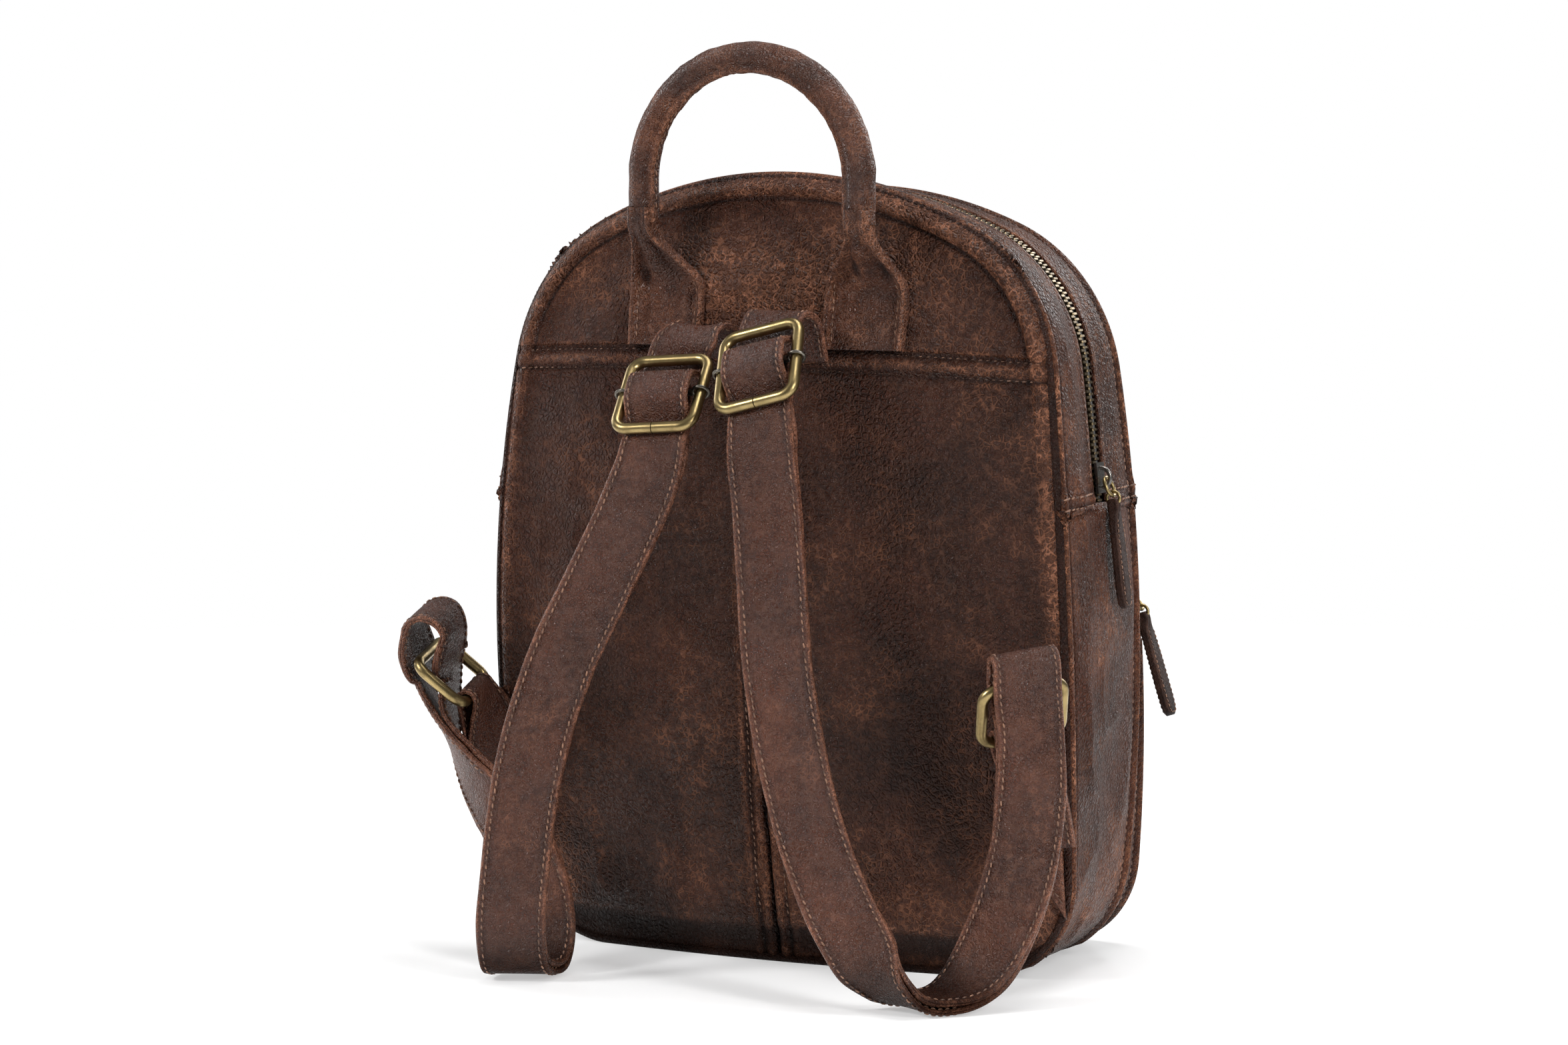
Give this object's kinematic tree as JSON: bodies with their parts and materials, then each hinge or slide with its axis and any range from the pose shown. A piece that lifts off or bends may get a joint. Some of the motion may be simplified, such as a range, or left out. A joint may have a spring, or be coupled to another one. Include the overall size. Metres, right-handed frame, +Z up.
{
  "type": "leather backpack",
  "caption": "Arched leather backpack with padded back panel, zipped front pocket, rolled carry handle and buckled shoulder straps on wire rings.",
  "frame": {"origin": "middle of the flat base, between the back panel and the front panel, on the surface that the bag stands on", "axes": "+Z up; -Y is the harness side that lies on the wearer's back and +Y the front pocket side; +X is the wearer's right"},
  "size_m": [0.3192, 0.2342, 0.3945],
  "materials": {
    "panel_leather": "pebbled, waxed",
    "gusset_leather": "pebbled, waxed",
    "handle_leather": "smooth, waxed",
    "strap_leather": "smooth, waxed",
    "brass": "antique",
    "dark_steel": "darkened",
    "gunmetal": "satin",
    "zip_teeth": "dark antique",
    "zip_tape": "woven",
    "lining": "woven cotton",
    "foam": "open-cell padding",
    "board": "plain",
    "cord_core": "twisted cotton cord"
  },
  "bodies": {
    "root": {"back_yoke_panel": "panel_leather", "back_lower_panel_left": "panel_leather", "back_lower_panel_right": "panel_leather", "rear_gusset": "gusset_leather", "base_gusset": "gusset_leather", "front_panel_lower": "panel_leather", "back_foam_pad": "foam", "main_lining": "lining", "base_board": "board", "main_zip_teeth_rear": "zip_teeth", "main_zip_tape_rear": "zip_tape", "pocket_face_lower": "panel_leather", "pocket_base_gusset": "gusset_leather", "pocket_rear_strip": "gusset_leather", "pocket_zip_teeth_rear": "zip_teeth", "pocket_zip_tape_rear": "zip_tape", "handle_end_right": "handle_leather", "handle_end_left": "handle_leather", "shoulder_strap_right": "strap_leather", "sliding_bar_right": "dark_steel", "lower_ring_right": "brass", "ring_loop_right": "strap_leather", "anchor_wing_right": "strap_leather", "shoulder_strap_left": "strap_leather", "sliding_bar_left": "dark_steel", "lower_ring_left": "brass", "ring_loop_left": "strap_leather", "anchor_wing_left": "strap_leather"},
    "front_flap": {"front_panel_upper": "panel_leather", "front_gusset": "gusset_leather", "main_zip_teeth_front": "zip_teeth", "main_zip_tape_front": "zip_tape", "flap_lining": "lining"},
    "pocket_flap": {"pocket_face_upper": "panel_leather", "pocket_front_strip": "gusset_leather", "pocket_zip_teeth_front": "zip_teeth", "pocket_zip_tape_front": "zip_tape"},
    "handle": {"handle_cover": "handle_leather", "handle_core": "cord_core"},
    "buckle_frame_right": {"buckle_frame_right": "brass"},
    "buckle_frame_left": {"buckle_frame_left": "brass"},
    "main_slider": {"main_slider": "gunmetal"},
    "main_puller": {"main_puller": "brass"},
    "main_jump_ring": {"main_jump_ring": "brass"},
    "main_tab": {"main_tab": "strap_leather"},
    "pocket_slider": {"pocket_slider": "gunmetal"},
    "pocket_puller": {"pocket_puller": "brass"},
    "pocket_jump_ring": {"pocket_jump_ring": "brass"},
    "pocket_tab": {"pocket_tab": "strap_leather"}
  },
  "joints": [
    {"name": "front_flap_hinge", "type": "hinge", "parent": "root", "child": "front_flap", "pos_m": [0, 0.056, 0.1973], "axis": [-1, 0, 0], "range_deg": [0, 60]},
    {"name": "pocket_flap_hinge", "type": "hinge", "parent": "root", "child": "pocket_flap", "pos_m": [0, 0.086, 0.137], "axis": [-1, 0, 0], "range_deg": [0, 60]},
    {"name": "handle_fold", "type": "hinge", "parent": "root", "child": "handle", "pos_m": [0, -0.066, 0.3235], "axis": [1, 0, 0], "range_deg": [-35, 60], "stiffness_Nm_per_rad": 0.3},
    {"name": "buckle_slide_right", "type": "slide", "parent": "root", "child": "buckle_frame_right", "axis": [0.2469, -0.6138, -0.7498], "range_m": [-0.0015, 0.0015]},
    {"name": "buckle_slide_left", "type": "slide", "parent": "root", "child": "buckle_frame_left", "axis": [0.1457, -0.6945, -0.7046], "range_m": [-0.0015, 0.0015]},
    {"name": "main_zip_travel", "type": "hinge", "parent": "root", "child": "main_slider", "pos_m": [-1.0255, 0, 0.115], "axis": [0, -1, 0], "range_deg": [0, 2.2]},
    {"name": "main_puller_hinge", "type": "hinge", "parent": "main_slider", "child": "main_puller", "pos_m": [0.13389, 0.00036, 0.21128], "axis": [0.1065, -0.9943, 0], "range_deg": [0, 120]},
    {"name": "main_jump_ring_hinge", "type": "hinge", "parent": "main_puller", "child": "main_jump_ring", "pos_m": [0.13742, 0.00074, 0.20367], "axis": [0.1065, -0.9943, 0], "range_deg": [0, 50]},
    {"name": "main_tab_hinge", "type": "hinge", "parent": "main_jump_ring", "child": "main_tab", "pos_m": [0.13776, 0.00078, 0.19989], "axis": [0.9869, 0.1057, 0.1219], "range_deg": [-25, 25]},
    {"name": "pocket_zip_travel", "type": "hinge", "parent": "root", "child": "pocket_slider", "pos_m": [0.05745, 0.063, 0.13091], "axis": [0, -1, 0], "range_deg": [0, 20]},
    {"name": "pocket_puller_hinge", "type": "hinge", "parent": "pocket_slider", "child": "pocket_puller", "pos_m": [0.11601, 0.06326, 0.15517], "axis": [0.083, -0.9965, 0], "range_deg": [0, 60]},
    {"name": "pocket_jump_ring_hinge", "type": "hinge", "parent": "pocket_puller", "child": "pocket_jump_ring", "pos_m": [0.12193, 0.06375, 0.14923], "axis": [0.083, -0.9965, 0], "range_deg": [0, 30]},
    {"name": "pocket_tab_hinge", "type": "hinge", "parent": "pocket_jump_ring", "child": "pocket_tab", "pos_m": [0.12274, 0.06382, 0.14556], "axis": [0.953, 0.0794, 0.2924], "range_deg": [-25, 25]}
  ]
}
